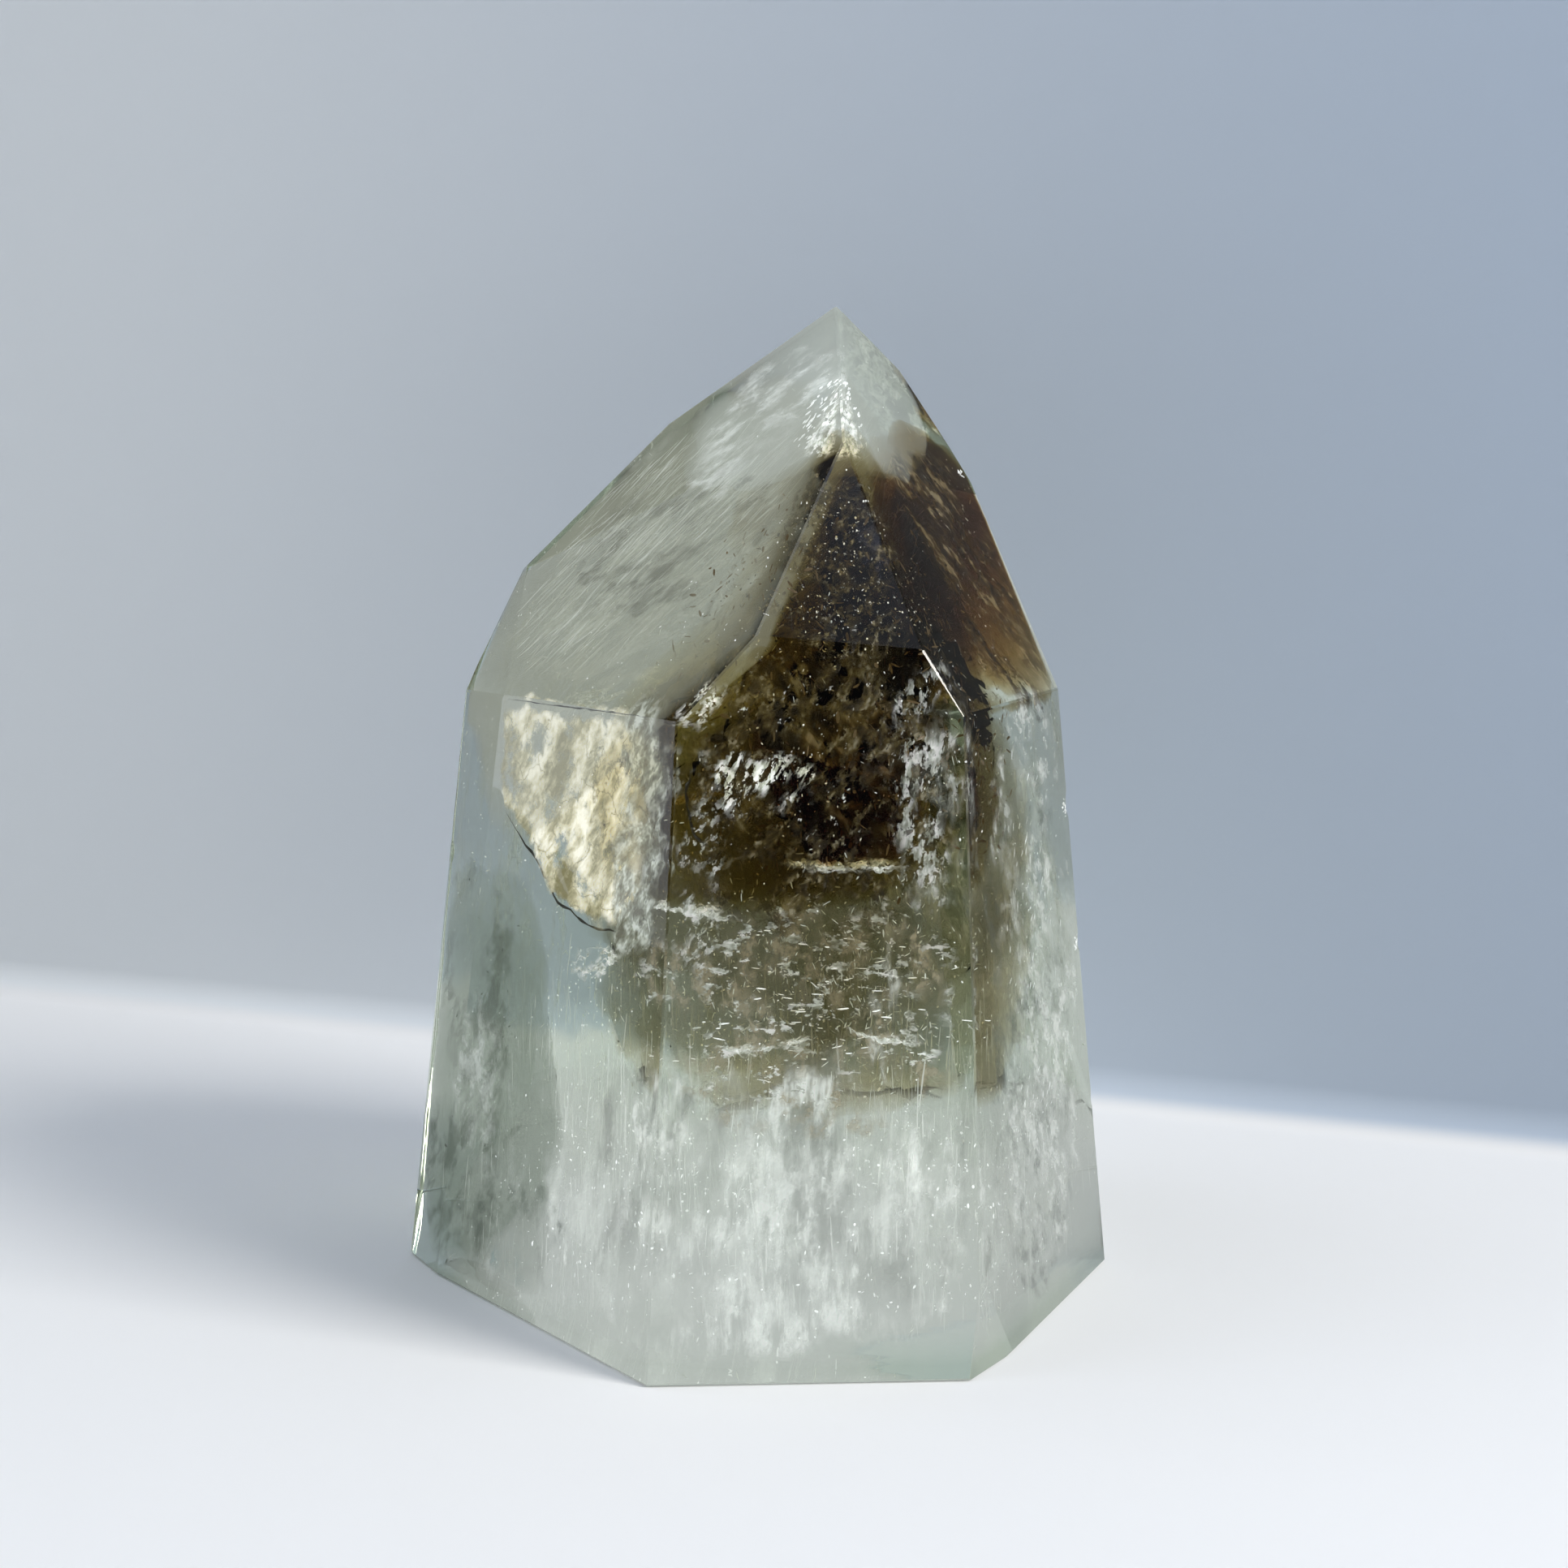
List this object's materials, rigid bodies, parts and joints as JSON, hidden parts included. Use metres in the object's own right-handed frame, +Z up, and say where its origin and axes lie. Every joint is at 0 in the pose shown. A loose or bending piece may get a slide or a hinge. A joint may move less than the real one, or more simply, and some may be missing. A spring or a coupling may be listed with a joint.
{
  "type": "polished quartz tower",
  "caption": "Polished pale green quartz point with a leaning six-sided column, an off-centre tip, smoky and golden flaws inside, and a flat sawn base.",
  "frame": {"origin": "middle of the outline's box, at the height of the flat sawn base", "axes": "+Z up along the crystal's column towards its tip, -Y towards the pictured front"},
  "size_m": [0.0578, 0.0512, 0.0777],
  "materials": {
    "clear_green_quartz": "polished pale grey-green quartz, see-through, with smoky brown and golden flaws"
  },
  "bodies": {
    "root": {"crystal_tower": "clear_green_quartz"}
  },
  "joints": []
}
